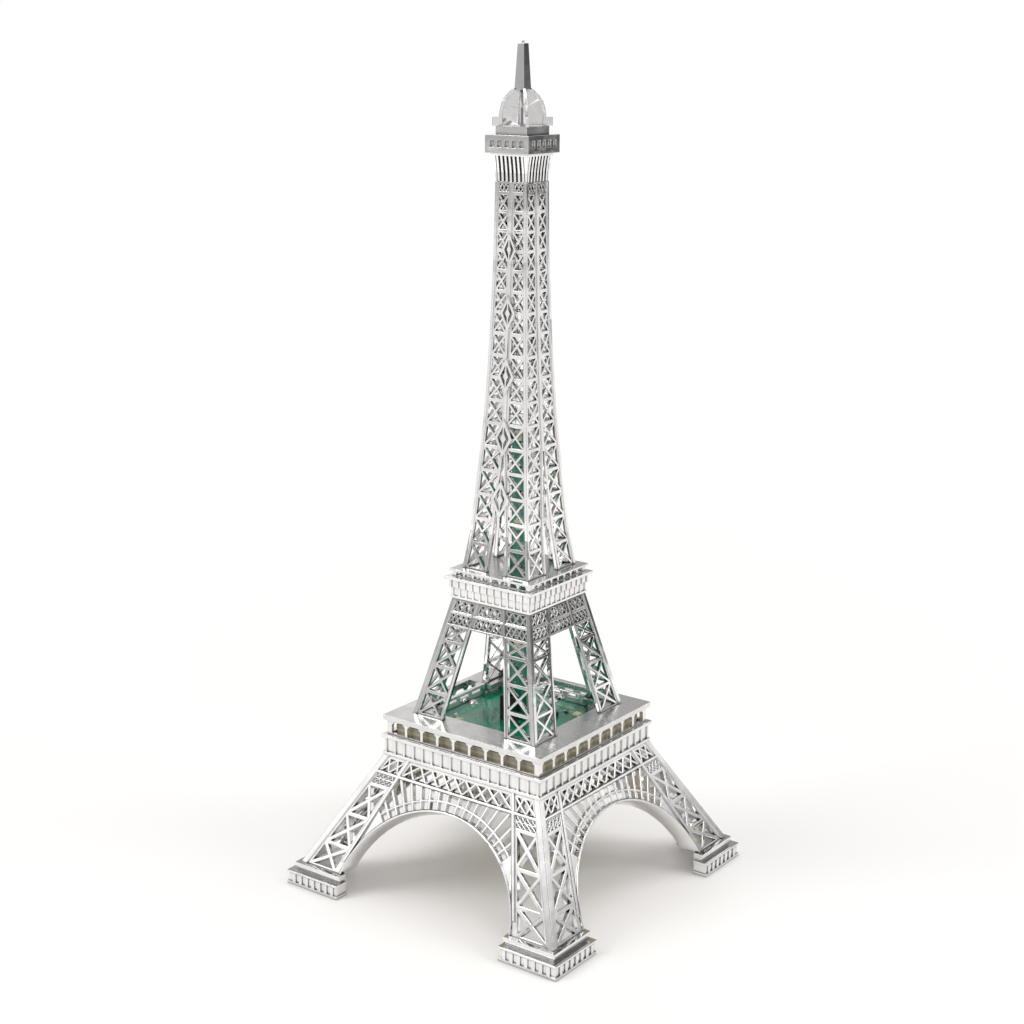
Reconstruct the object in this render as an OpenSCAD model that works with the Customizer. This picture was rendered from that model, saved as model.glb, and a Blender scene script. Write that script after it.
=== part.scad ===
// Lighted miniature of an iron lattice tower: four splayed feet, two square platforms,
// a tall tapering shaft and a small domed summit. Every level is built from four
// mitred side panels; the lamp board and the battery tray sit in the first platform.
// Millimetres, +Z up, origin on the table under the tower's axis.

/* [Overall] */
// half width of the feet on the table
foot_half = 61.3; // [60.5:0.1:63]
// height of the lower foot block
foot_block_h = 5.4; // [5:0.1:5.6]
// height of the whole foot
foot_h = 8.3; // [8:0.1:8.6]
// level of the underside of the first platform
deck_z = 49.6; // [49:0.1:50.2]
// half width of the first platform's top plate
deck_half = 35.5; // [35.2:0.1:35.8]
// level of the first platform's top
deck_top = 65; // [64.6:0.1:65.4]
// level of the underside of the second platform
terrace_z = 109; // [108.6:0.1:109.4]
// level of the second platform's top
terrace_top = 120; // [119.6:0.1:120.4]
// level of the top of the shaft
shaft_top = 258; // [257:0.5:259]

/* [Legs] */
// half width over the legs at the feet
leg_bot_half = 57.5; // [57:0.1:58]
// half width over the legs under the first platform
leg_top_half = 35.4; // [35:0.1:35.6]
// inside radius of the big arches
arch_r = 39; // [38.6:0.1:39.4]
// depth of the arch ring
arch_ring = 4.2; // [3.8:0.1:4.6]
// depth of the lining under the arch
soffit_depth = 7; // [4:0.5:7.5]
// depth of the base lattice bars
base_depth = 2; // [1.6:0.1:2.4]

/* [Lattice] */
// thickness of the lattice plates
lattice_t = 1.3; // [1.2:0.1:1.6]
// height of the frame bars over the lattice
bar_proud = 0.5; // [0.3:0.1:0.7]
// width of the thin lattice bars
bar_w = 0.9; // [0.7:0.1:1]
// number of lattice rows up the shaft
shaft_rows = 17; // [15:1:17]

/* [Lamp board] */
// half width of the main board
board_half = 32; // [31:0.5:32.5]
// distance of the lamps from the axis, along each side
lamp_at = 15.8; // [15:0.1:17]

/* [Battery box] */
// opening angle of the battery door
door_open = 0; // [0:1:85]
// travel of the switch lever from its off position
switch_at = 0; // [0:0.1:2.4]

/* [Hidden] */
chrome = [0.80, 0.80, 0.82];
green = [0.05, 0.38, 0.24];
cream = [0.78, 0.72, 0.58];
far = 80;
tilt = atan((leg_bot_half - leg_top_half) / (deck_z - foot_h));
slant = (deck_z - foot_h) / cos(tilt);
arch_c = -6.6;
leg_taper = 16.9 / slant;
line_v = 40.1;
leg_rows = [0.3, 9.9, 22.1, 34.9];
mid_rows = [deck_top, 73.8, 83.4, 92.8, 98.9];
shaft_profile = [[14.8, terrace_top], [13.7, 127.3], [12.75, 134], [11.7, 146.2],
  [10.46, 161.6], [9.46, 174.3], [8.5, 192.2], [7.77, 209.9], [7.1, 230.9],
  [6.67, shaft_top]];
shaft_step = 9.4;
shaft_loss = 0.19;
tray_half = 29;
tray_z = 45.6;
board_z = 59.4;
cell_x0 = -21.5;
cell_mid = 2.75;
cell_z = 52.5;
cell_top = 57.9;
hinge_y = 20;
hinge_z = 47;
lead_spots = [[-20.5, -10.9], [26, 10.9]];
screw_spots = [[-22.8, 2.5], [0, 22.8], [16, -22.8]];
rail_half = 13.2;
rail_top = deck_top + 0.2;

function lerp(a, b, t) = a + (b - a) * t;
function at(list, z) = lookup(z, [for (p = list) [p[1], p[0]]]);
function leg_out(v) = leg_bot_half - v * sin(tilt);
function leg_in(v) = 40.6 - v * leg_taper;
function mid_out(z) = lerp(27.7, 17.4, (z - deck_top) / (terrace_z - deck_top));
function mid_in(z) = lerp(14, 7.4, (z - deck_top) / (98.9 - deck_top));
function shaft_out(z) = at(shaft_profile, z);
function slit(z) = max(0, lerp(3.9, 0, (z - terrace_top) / 45));
function row_z(i) = terrace_top + i * shaft_step - shaft_loss * i * (i - 1) / 2;

// a triangle a, b, c moved inwards by w
function inset3(a, b, c, w) =
  let (la = norm(b - c), lb = norm(a - c), lc = norm(a - b), p = la + lb + lc,
       m = (a * la + b * lb + c * lc) / p,
       r = abs((b[0] - a[0]) * (c[1] - a[1]) - (b[1] - a[1]) * (c[0] - a[0])) / p,
       k = max(0, 1 - w / r))
  [for (q = [a, b, c]) m + (q - m) * k];

module hole3(a, b, c, w) {
  p = inset3(a, b, c, w);
  if (norm(p[0] - p[1]) > 0.35 && norm(p[1] - p[2]) > 0.35) polygon(p);
}

// the four holes of a cell crossed by two diagonals
module x_cell(bl, br, tr, tl, w) {
  t = norm(bl - br) / (norm(bl - br) + norm(tl - tr));
  m = lerp(bl, tr, t);
  hole3(bl, br, m, w);
  hole3(br, tr, m, w);
  hole3(tr, tl, m, w);
  hole3(tl, bl, m, w);
}

// n crossed cells side by side between two slanting edges
module x_row(l0, r0, z0, l1, r1, z1, n, w) {
  for (i = [0:n - 1])
    x_cell([lerp(l0, r0, i / n), z0], [lerp(l0, r0, (i + 1) / n), z0],
           [lerp(l1, r1, (i + 1) / n), z1], [lerp(l1, r1, i / n), z1], w);
}

// trellis: crossing diagonals without uprights
module trellis(l0, r0, z0, l1, r1, z1, n, w) {
  function b(i) = [lerp(l0, r0, i / n), z0];
  function t(i) = [lerp(l1, r1, i / n), z1];
  function m(i) = (b(i) + b(i + 1) + t(i) + t(i + 1)) / 4;
  for (i = [0:n - 1]) {
    hole3(b(i), b(i + 1), m(i), w);
    hole3(t(i), t(i + 1), m(i), w);
  }
  hole3(b(0), t(0), m(0), w);
  hole3(b(n), t(n), m(n - 1), w);
  for (i = [1:n - 1]) {
    c = (m(i - 1) + m(i)) / 2;
    d = (m(i) - m(i - 1)) / 2;
    h = (t(i) - b(i)) / 2;
    k = 1 - w * norm([norm(d), norm(h)]) / (norm(d) * norm(h));
    polygon([c - d * k, c - h * k, c + d * k, c + h * k]);
  }
}

module both_sides() {
  children();
  mirror([1, 0]) children();
}

// a flat drawing (x across, y up) stood up and carried towards the front
module stand_up() {
  rotate([90, 0, 0]) linear_extrude(height = far) children();
}

// the layer between two depths behind the outer surface given by [half, z] points
module layer(profile, d0, d1) {
  n = len(profile);
  rotate([90, 0, 90]) linear_extrude(height = 2 * far, center = true)
    polygon(concat([for (p = profile) [d0 - p[0], p[1]]],
                   [for (i = [n - 1:-1:0]) [d1 - profile[i][0], profile[i][1]]]));
}

// the quarter of the plan that belongs to the front side
module quarter(z0, z1) {
  translate([0, 0, z0]) linear_extrude(height = z1 - z0)
    polygon([[0, 0], [-far, -far], [far, -far]]);
}

// ---- feet ----
// plan of one foot: an L round the outer corner
module foot_plan(out, in, len) {
  polygon([[out, -out], [out, -len], [in, -len], [in, -in], [len, -in], [len, -out]]);
}

module foot_shape() {
  linear_extrude(height = 1.2) foot_plan(foot_half, 55.4, 36.9);
  translate([0, 0, 1.2]) linear_extrude(height = foot_block_h - 2)
    foot_plan(foot_half - 0.5, 55.4, 37.3);
  translate([0, 0, foot_block_h - 0.8]) linear_extrude(height = 0.8)
    foot_plan(foot_half, 55.4, 36.9);
  translate([0, 0, foot_block_h]) linear_extrude(height = 1.2)
    foot_plan(foot_half - 3, 55.2, 37.8);
  translate([0, 0, foot_block_h + 1.2]) linear_extrude(height = foot_h - foot_block_h - 1.2)
    foot_plan(foot_half - 2.2, 55.2, 37.4);
  for (i = [0:6]) {
    translate([38.6 + i * 3.1, -foot_half + 0.1, 1.1]) cube([1.5, 0.8, foot_block_h - 1.7]);
    translate([foot_half - 0.9, -40.1 - i * 3.1, 1.1]) cube([0.8, 1.5, foot_block_h - 1.7]);
  }
}

module foot_front_left() { color(chrome) rotate([0, 0, -90]) foot_shape(); }
module foot_front_right() { color(chrome) foot_shape(); }
module foot_back_right() { color(chrome) rotate([0, 0, 90]) foot_shape(); }
module foot_back_left() { color(chrome) rotate([0, 0, 180]) foot_shape(); }

// ---- base panels ----
// drawn flat in the sloping plane: x across, y up the slope from the foot
function polar(a, r) = [r * cos(a), arch_c + r * sin(a)];
function to_line(a) = (line_v - 0.6 - arch_c) / sin(a);
function to_leg(a) =
  (leg_in(0) - 0.9 - leg_taper * arch_c) / (cos(a) + leg_taper * sin(a));

module base_outline() {
  difference() {
    polygon([[-leg_out(-3) - 2, -3], [leg_out(-3) + 2, -3],
             [leg_out(slant + 3) + 2, slant + 3], [-leg_out(slant + 3) - 2, slant + 3]]);
    translate([0, arch_c]) circle(r = arch_r, $fn = 96);
    translate([-arch_r, -4]) square([2 * arch_r, 4 + arch_c + arch_r * 0.14]);
  }
}

module base_leg_holes() {
  for (i = [0:2])
    x_row(leg_in(leg_rows[i]) + 0.9, leg_out(leg_rows[i]) - 2.9, leg_rows[i],
          leg_in(leg_rows[i + 1]) + 0.9, leg_out(leg_rows[i + 1]) - 2.9,
          leg_rows[i + 1], 1, 0.72);
  for (i = [0, 1]) {
    v0 = leg_rows[3] + 0.5 + i * 2.3;
    x_row(leg_in(v0) + 1, leg_out(v0) - 3, v0, leg_in(v0 + 2.3) + 1, leg_out(v0 + 2.3) - 3,
          v0 + 2.3, 4, 0.27);
  }
  trellis(leg_in(line_v) + 1, leg_out(line_v) - 3, line_v + 0.5,
          leg_in(slant) + 1, leg_out(slant) - 3, slant - 0.8, 2, bar_w / 2);
}

module arch_holes() {
  for (i = [0:14]) {
    a = 17.5 + i * 5;
    r0 = arch_r + arch_ring + 0.4;
    ra = min(to_line(a), to_leg(a));
    rb = min(to_line(a + 3.6), to_leg(a + 3.6));
    if (polar(a, r0)[0] < leg_in(polar(a, r0)[1]) - 0.4)
      polygon([polar(a, arch_r + 0.9), polar(a + 3.6, arch_r + 0.9),
               polar(a + 3.6, arch_r + arch_ring - 0.4), polar(a, arch_r + arch_ring - 0.4)]);
    if (ra > r0 + 0.7 && rb > r0 + 0.7)
      polygon([polar(a, r0), polar(a, ra), polar(a + 3.6, rb), polar(a + 3.6, r0)]);
  }
}

module base_lattice() {
  difference() {
    base_outline();
    both_sides() {
      base_leg_holes();
      arch_holes();
    }
    trellis(1 - leg_in(line_v), leg_in(line_v) - 1, line_v + 0.5,
            1 - leg_in(slant), leg_in(slant) - 1, slant - 0.8, 9, bar_w / 2);
  }
}

module base_bars() {
  for (s = [-1, 1]) {
    polygon([[s * (leg_out(-3) + 2), -3], [s * (leg_out(-3) - 2.6), -3],
             [s * (leg_out(slant + 3) - 2.6), slant + 3],
             [s * (leg_out(slant + 3) + 2), slant + 3]]);
    polygon([[s * (leg_in(5) + 0.7), 5], [s * (leg_in(5) - 0.7), 5],
             [s * (leg_in(slant + 3) - 0.7), slant + 3], [s * (leg_in(slant + 3) + 0.7), slant + 3]]);
  }
  translate([-leg_out(line_v) - 2, line_v - 0.5]) square([2 * leg_out(line_v) + 4, 1]);
}

module base_lining() {
  difference() {
    intersection() {
      translate([0, arch_c]) circle(r = arch_r + 0.8, $fn = 96);
      translate([-far, -4]) square([2 * far, far]);
    }
    translate([0, arch_c]) circle(r = arch_r, $fn = 96);
  }
}

module base_panel() {
  intersection() {
    quarter(foot_h, deck_z);
    translate([0, -leg_bot_half, foot_h]) rotate([90 - tilt, 0, 0]) {
      translate([0, 0, -bar_proud - base_depth])
        linear_extrude(height = base_depth) base_lattice();
      translate([0, 0, -bar_proud - 0.2]) linear_extrude(height = bar_proud + 0.2) base_bars();
      translate([0, 0, -soffit_depth]) linear_extrude(height = soffit_depth - 0.1)
        base_lining();
    }
  }
}

module base_panel_front() { color(chrome) base_panel(); }
module base_panel_right() { color(chrome) rotate([0, 0, 90]) base_panel(); }
module base_panel_back() { color(chrome) rotate([0, 0, 180]) base_panel(); }
module base_panel_left() { color(chrome) rotate([0, 0, 270]) base_panel(); }

// ---- first platform ----
// square ring in plan with n ribs standing out on each side
module ribbed_ring(half, inner, n, rib_w, rib_d) {
  difference() {
    union() {
      square(2 * half, center = true);
      for (s = [0:3], i = [0:n])
        rotate(90 * s) translate([-half + rib_w / 2 + i * (2 * half - rib_w) / n - rib_w / 2,
                                  -half - rib_d])
          square([rib_w, rib_d + 0.5]);
    }
    square(2 * inner, center = true);
  }
}

module square_ring(half, inner, z0, z1) {
  translate([0, 0, z0]) linear_extrude(height = z1 - z0) difference() {
    square(2 * half, center = true);
    square(2 * inner, center = true);
  }
}

// one wall of a gallery, pierced by n arched windows
module window_wall(half, h, n, pitch, w, sill, head) {
  difference() {
    translate([-half, 0]) square([2 * half, h]);
    for (i = [0:n - 1]) translate([(i - (n - 1) / 2) * pitch, 0])
      polygon([[-w / 2, sill], [w / 2, sill], [w / 2, h - head - w * 0.22],
               [w * 0.28, h - head], [-w * 0.28, h - head], [-w / 2, h - head - w * 0.22]]);
  }
}

module gallery(half, t, z0, z1, n, pitch, w, sill, head) {
  for (s = [0:3]) rotate([0, 0, 90 * s]) intersection() {
    translate([0, -half + t, z0]) rotate([90, 0, 0]) linear_extrude(height = t)
      window_wall(half, z1 - z0, n, pitch, w, sill, head);
    quarter(z0, z1);
  }
}

module deck_console() {
  color(chrome) {
    square_ring(35.7, 33, deck_z, deck_z + 1.1);
    square_ring(33.2, 30.6, deck_z, deck_z + 1.1);
    translate([0, 0, deck_z + 1.1]) linear_extrude(height = 5.5)
      ribbed_ring(34.9, 33, 16, 0.9, 0.5);
    square_ring(36.1, 33, deck_z + 6.6, deck_z + 7.9);
  }
}

module deck_gallery() {
  color(chrome) gallery(34.4, 1.3, deck_z + 7.9, deck_top - 2, 9, 7.3, 6.1, 0.5, 0.4);
}

// square frame, cut back to the gallery wall between the legs on the back and left
module deck_plate() {
  color(chrome) difference() {
    union() {
      square_ring(deck_half, 22.7, deck_top - 2, deck_top);
      square_ring(32.9, 31.9, deck_top - 3, deck_top - 2);
    }
    for (s = [2, 3]) rotate([0, 0, 90 * s])
      translate([-rail_half - 0.2, -33.1, deck_top - 4]) cube([2 * rail_half + 0.4, 12, 5]);
  }
}

// ---- middle section ----
module mid_outline() {
  z0 = deck_top - 1;
  z1 = terrace_z + 1;
  polygon([[-mid_out(z0) - 2, z0], [-mid_in(z0), z0], [-mid_in(98.9), 98.9],
           [mid_in(98.9), 98.9], [mid_in(z0), z0], [mid_out(z0) + 2, z0],
           [mid_out(z1) + 2, z1], [-mid_out(z1) - 2, z1]]);
}

module mid_lattice() {
  difference() {
    mid_outline();
    both_sides() {
      for (i = [0:3])
        x_row(mid_in(mid_rows[i]) + 1.1, mid_out(mid_rows[i]) - 1.9, mid_rows[i] + 0.3,
              mid_in(mid_rows[i + 1]) + 1.1, mid_out(mid_rows[i + 1]) - 1.9,
              mid_rows[i + 1], 1, bar_w / 2);
      trellis(mid_in(99.3) + 1, mid_out(99.3) - 1.8, 99.6,
              mid_in(103.4) + 1, mid_out(103.4) - 1.8, 103.3, 4, 0.3);
      trellis(mid_in(104) + 1, mid_out(104) - 1.8, 104.1,
              mid_in(108.5) + 1, mid_out(108.5) - 1.8, 108.3, 3, 0.35);
    }
    trellis(-mid_in(99.3) + 0.9, mid_in(99.3) - 0.9, 99.6,
            -mid_in(103.4) + 0.9, mid_in(103.4) - 0.9, 103.3, 5, 0.3);
    trellis(-mid_in(104) + 0.9, mid_in(104) - 0.9, 104.1,
            -mid_in(108.5) + 0.9, mid_in(108.5) - 0.9, 108.3, 3, 0.4);
  }
}

module mid_bars() {
  z0 = deck_top - 1;
  z1 = terrace_z + 1;
  for (s = [-1, 1]) {
    polygon([[s * (mid_out(z0) + 2), z0], [s * (mid_out(z0) - 1.7), z0],
             [s * (mid_out(z1) - 1.7), z1], [s * (mid_out(z1) + 2), z1]]);
    polygon([[s * (mid_in(z0) + 0.1), z0], [s * (mid_in(z0) + 1), z0],
             [s * (mid_in(z1) + 1), z1], [s * (mid_in(z1) + 0.1), z1]]);
  }
  for (z = [99, 103.4]) translate([-mid_out(z) - 1, z]) square([2 * mid_out(z) + 2, 0.6]);
}

// rail between the two legs, standing on the lamp board, with a row of slots; only the
// back and left panels have one
module mid_rail() {
  z0 = board_z + 1.6;
  translate([0, -25.2, 0]) rotate([90, 0, 0]) linear_extrude(height = 1.6) difference() {
    union() {
      translate([-rail_half, z0]) square([2 * rail_half, rail_top - z0]);
      both_sides()
        polygon([[rail_half - 1, rail_top - 1], [rail_half - 0.1, deck_top], [15, deck_top],
                 [15, deck_top + 1.8], [14.1, deck_top + 1.8], [rail_half - 1, rail_top]]);
    }
    for (i = [-1:1]) translate([i * 7.3 - 2.5, rail_top - 1.9]) square([5, 1.4]);
  }
}

module mid_panel() {
  p = [[mid_out(deck_top - 2), deck_top - 2], [mid_out(terrace_z + 2), terrace_z + 2]];
  intersection() {
    quarter(deck_top, terrace_z);
    union() {
      intersection() {
        stand_up() mid_lattice();
        layer(p, 0.4, 0.4 + lattice_t);
      }
      intersection() {
        stand_up() mid_bars();
        layer(p, 0, 0.6);
      }
    }
  }
}

module mid_panel_front() { color(chrome) mid_panel(); }
module mid_panel_right() { color(chrome) rotate([0, 0, 90]) mid_panel(); }
module mid_panel_back() {
  color(chrome) rotate([0, 0, 180]) {
    mid_panel();
    mid_rail();
  }
}
module mid_panel_left() {
  color(chrome) rotate([0, 0, 270]) {
    mid_panel();
    mid_rail();
  }
}

// ---- second platform ----
module terrace_console() {
  color(chrome) {
    square_ring(17.8, 15.4, terrace_z, terrace_z + 0.9);
    translate([0, 0, terrace_z + 0.9]) linear_extrude(height = 3.1)
      ribbed_ring(17.4, 15.4, 11, 0.9, 0.3);
    translate([0, 0, terrace_z + 4]) linear_extrude(height = 3.1)
      ribbed_ring(17.9, 15.4, 11, 0.9, 0.4);
    square_ring(19.4, 15.4, terrace_z + 7.1, terrace_z + 8.2);
  }
}

module terrace_gallery() {
  color(chrome) gallery(17.3, 1, terrace_z + 8.2, terrace_top - 0.8, 8, 4, 3, 0.3, 0.2);
}

module terrace_plate() {
  color(chrome) difference() {
    translate([-18.1, -18.1, terrace_top - 0.8]) cube([36.2, 36.2, 0.8]);
    translate([-4.6, -1, terrace_top - 1]) cube([9.2, 2, 1.2]);
  }
}

// ---- shaft ----
module shaft_lattice() {
  difference() {
    translate([-far, terrace_top - 1]) square([2 * far, shaft_top - terrace_top + 2]);
    both_sides() {
      for (i = [0:shaft_rows - 1])
        x_row(slit(row_z(i)) + 1, shaft_out(row_z(i)) - 1.2, row_z(i) + 0.3,
              slit(row_z(i + 1)) + 1, shaft_out(row_z(i + 1)) - 1.2, row_z(i + 1) - 0.1,
              1, 0.42);
      trellis(0.7, shaft_out(255) - 1.2, row_z(shaft_rows) + 0.4,
              0.7, shaft_out(shaft_top) - 1.2, shaft_top - 0.5, 3, 0.28);
    }
    polygon([[-3.98, terrace_top - 2], [3.98, terrace_top - 2],
             [0.3, terrace_top + 41.5], [-0.3, terrace_top + 41.5]]);
  }
}

module shaft_bars() {
  n = len(shaft_profile);
  both_sides() {
    polygon(concat([[far, terrace_top - 1]],
                   [for (p = shaft_profile) [p[0] - 1.1, p[1] + (p[1] == terrace_top ? -1 : 0)]],
                   [[shaft_out(shaft_top) - 1.1, shaft_top + 1], [far, shaft_top + 1]]));
    polygon([[4, terrace_top - 1], [4.9, terrace_top - 1], [0.9, terrace_top + 45],
             [0.6, terrace_top + 45], [0.4, terrace_top + 41.5]]);
  }
  translate([-0.6, terrace_top + 44]) square([1.2, shaft_top - terrace_top - 43]);
}

module shaft_layer(d0, d1) {
  first = shaft_profile[0];
  last = shaft_profile[len(shaft_profile) - 1];
  layer(concat([[first[0] + 0.3, first[1] - 2]], shaft_profile, [[last[0], last[1] + 2]]),
        d0, d1);
}

module shaft_panel() {
  intersection() {
    quarter(terrace_top, shaft_top);
    union() {
      intersection() {
        stand_up() shaft_lattice();
        shaft_layer(0.4, 0.4 + lattice_t);
      }
      intersection() {
        stand_up() shaft_bars();
        shaft_layer(0, 0.6);
      }
    }
  }
}

// raised lozenge ornament, lying along the slope of the shaft's front; an upright tie
// holds its centre where the slit is open behind it
module ornament(z, w, h) {
  module lozenge(k) polygon([[-w * k, z], [0, z - h * k], [w * k, z], [0, z + h * k]]);
  intersection() {
    stand_up() {
      difference() {
        lozenge(0.5);
        lozenge(0.33);
      }
      lozenge(0.17);
      translate([-0.3, z - h * 0.4]) square([0.6, h * 0.8]);
    }
    shaft_layer(-0.45, 0.9);
  }
}

module shaft_panel_front() {
  color(chrome) {
    shaft_panel();
    for (i = [0:4]) ornament(147 + i * 22, 8 - i * 0.5, 14 - i * 0.5);
  }
}
module shaft_panel_right() { color(chrome) rotate([0, 0, 90]) shaft_panel(); }
module shaft_panel_back() { color(chrome) rotate([0, 0, 180]) shaft_panel(); }
module shaft_panel_left() { color(chrome) rotate([0, 0, 270]) shaft_panel(); }

// ---- summit ----
module flare_profile(grow) {
  polygon([[-6.5 - grow, shaft_top], [6.5 + grow, shaft_top], [6.7 + grow, shaft_top + 3],
           [7.1 + grow, shaft_top + 6], [7.7 + grow, shaft_top + 9.5],
           [-7.7 - grow, shaft_top + 9.5], [-7.1 - grow, shaft_top + 6],
           [-6.7 - grow, shaft_top + 3]]);
}

module flare(grow) {
  rotate([90, 0, 0]) linear_extrude(height = 20, center = true) flare_profile(grow);
}

module capital() {
  color(chrome) difference() {
    union() {
      intersection() {
        flare(-1);
        rotate([0, 0, 90]) flare(-1);
      }
      for (s = [0, 90], i = [-3:3]) rotate([0, 0, s]) intersection() {
        flare(0);
        translate([-10, i * 1.75 - 0.45, shaft_top]) cube([20, 0.9, 9.5]);
      }
      intersection() {
        flare(0);
        rotate([0, 0, 90]) flare(0);
        union() {
          for (s = [0:3]) rotate([0, 0, 90 * s]) translate([5.95, 5.95, shaft_top]) cube([3, 3, 9.5]);
          translate([-8, -8, shaft_top + 8.6]) cube([16, 16, 0.9]);
        }
      }
    }
    translate([-4.2, -4.2, shaft_top - 1]) cube([8.4, 8.4, 8]);
  }
}

// closed box with a row of shallow arched recesses on each side
module summit_gallery() {
  z0 = shaft_top + 9.5;
  color(chrome) {
    gallery(9.2, 0.8, z0, z0 + 6.2, 5, 3.1, 1.9, 2, 1.7);
    translate([-8.5, -8.5, z0]) cube([17, 17, 6.2]);
  }
}

module summit_block() {
  z0 = shaft_top + 15.7;
  color(chrome) difference() {
    translate([-6.6, -6.6, z0]) cube([13.2, 13.2, 2.8]);
    for (a = [45, 135]) rotate([0, 0, a]) translate([-8.2, -0.55, z0 + 1.4])
      cube([16.4, 1.1, 2]);
  }
}

// half-oval plate with end tabs; two of them cross on the diagonals
module fin_shape() {
  z0 = shaft_top + 17.1;
  base = [[8, z0], [8, z0 + 1.4], [10.4, z0 + 1.4], [10.4, z0 + 4.5]];
  polygon(concat(base, [for (a = [0:6:180]) [8.1 * cos(a), z0 + 4.5 + 10.2 * sin(a)]],
                 [for (i = [3:-1:0]) [-base[i][0], base[i][1]]]));
}

module fin_field() {
  z0 = shaft_top + 17.1;
  polygon(concat([[6.9, z0 + 1.5]],
                 [for (a = [0:6:180]) [7.1 * cos(a), z0 + 4.5 + 9.1 * sin(a)]],
                 [[-6.9, z0 + 1.5]]));
}

module fin(slot_z, slot_h) {
  rotate([90, 0, 0]) difference() {
    linear_extrude(height = 1, center = true) difference() {
      fin_shape();
      translate([-0.55, slot_z]) square([1.1, slot_h]);
      translate([-2.9, shaft_top + 30.6]) square([5.8, 3]);
    }
    for (z = [-1.2, 0.25]) translate([0, 0, z]) linear_extrude(height = 0.95) fin_field();
  }
}

module dome_fin_a() { color(chrome) rotate([0, 0, 45]) fin(shaft_top + 16, 8.4); }
module dome_fin_b() { color(chrome) rotate([0, 0, -45]) fin(shaft_top + 24.4, 8); }

module spire() {
  z0 = shaft_top + 30.6;
  module flank() {
    rotate([90, 0, 0]) linear_extrude(height = 8, center = true)
      polygon([[-2.05, z0], [2.05, z0], [1.32, z0 + 15.3], [-1.32, z0 + 15.3]]);
  }
  color(chrome) {
    intersection() {
      flank();
      rotate([0, 0, 90]) flank();
    }
    translate([0, 0, z0 + 15]) cylinder(r = 0.45, h = 1.2, $fn = 32);
  }
}

// ---- battery box ----
module battery_tray() {
  color(cream) difference() {
    union() {
      translate([-tray_half, -tray_half, tray_z])
        cube([2 * tray_half, 2 * tray_half, board_z - tray_z]);
      translate([-32.4, -32.4, deck_z + 1.1]) cube([64.8, 64.8, 1.4]);
      square_ring(32, 30.6, deck_z + 2, board_z);
    }
    translate([cell_x0, -18, tray_z - 1]) cube([48.5, 36, cell_top - tray_z + 1]);
    translate([cell_x0 - 0.8, -19.2, tray_z - 1]) cube([50.1, 41, 2.6]);
    translate([cell_x0 - 0.8, hinge_y, hinge_z]) rotate([0, 90, 0])
      cylinder(r = 1.75, h = 50.1, $fn = 48);
    translate([cell_x0 - 3, hinge_y, hinge_z]) rotate([0, 90, 0])
      cylinder(r = 0.63, h = 56, $fn = 32);
    translate([cell_mid - 4, -21, tray_z - 1]) cube([8, 3, 2.6]);
    translate([-7, -27, tray_z + 1.4]) cube([14, 5.6, 20]);
    translate([-2.5, -25.4, tray_z - 1]) cube([5, 2.4, 4]);
    for (p = lead_spots) translate([p[0], p[1], cell_top - 1]) cylinder(r = 0.8, h = 4, $fn = 32);
    for (p = screw_spots) translate([p[0], p[1], board_z - 5]) cylinder(r = 0.95, h = 6, $fn = 32);
  }
}

module battery_door() {
  color(cream) translate([0, hinge_y, hinge_z]) rotate([door_open, 0, 0])
    translate([0, -hinge_y, -hinge_z]) difference() {
      union() {
        translate([cell_x0 - 0.5, -18.9, tray_z]) cube([49.5, 38.9, 1.4]);
        translate([cell_x0 - 0.5, hinge_y, hinge_z]) rotate([0, 90, 0])
          cylinder(r = 1.4, h = 49.5, $fn = 48);
        for (i = [0:4]) translate([cell_mid - 5, -17 + i * 1.6, tray_z - 0.4]) cube([10, 0.8, 0.5]);
      }
      translate([cell_x0 - 3, hinge_y, hinge_z]) rotate([0, 90, 0])
        cylinder(r = 0.66, h = 56, $fn = 32);
    }
}

module door_pin() {
  color(chrome) translate([cell_x0 - 2.6, hinge_y, hinge_z]) rotate([0, 90, 0])
    cylinder(r = 0.6, h = 53, $fn = 32);
}

// a cylindrical cell lying along X, button end towards +X
module cell() {
  rotate([0, 90, 0]) {
    translate([0, 0, -22.2]) cylinder(r = 5.2, h = 43.6, $fn = 64);
    cylinder(r = 1.9, h = 22.2, $fn = 32);
  }
}

module each_cell() {
  for (i = [-1:1]) translate([cell_mid, i * 10.9, cell_z]) rotate([0, 0, i == 0 ? 180 : 0])
    children();
}

module battery_cells() { color([0.15, 0.15, 0.17]) each_cell() cell(); }

module contact_plates() {
  color(chrome) each_cell() for (x = [-24.2, 23.7])
    translate([x, -4.2, -4.4]) cube([0.5, 8.4, 9.4]);
}

module contact_springs() {
  color(chrome) each_cell() translate([-23.32, 0, 0]) rotate([0, 90, 0])
    for (i = [0:2]) translate([0, 0, i * 0.37]) rotate_extrude($fn = 48)
      translate([3.4 - i * 0.55, 0]) circle(r = 0.36, $fn = 24);
}

module leads() {
  color([0.7, 0.1, 0.1]) {
    for (p = lead_spots) translate([p[0], p[1], cell_z + 4.4])
      cylinder(r = 0.5, h = board_z - cell_z - 4.4, $fn = 32);
    for (x = [-3, 3]) translate([x, -24.2, tray_z + 7.4])
      cylinder(r = 0.5, h = board_z - tray_z - 7.4, $fn = 32);
  }
}

module switch_body() {
  color([0.12, 0.12, 0.13]) difference() {
    translate([-6.8, -26.8, tray_z + 1.4]) cube([13.6, 5.2, 6]);
    translate([-4, -25.7, tray_z + 1.3]) cube([8, 3, 2.9]);
  }
}

module switch_lever() {
  color([0.12, 0.12, 0.13]) translate([switch_at, 0, 0]) {
    translate([-3.7, -25.55, tray_z + 1.5]) cube([5, 2.7, 2.4]);
    translate([-2.3, -25.2, tray_z - 1.4]) cube([2.2, 2, 3.2]);
  }
}

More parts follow.
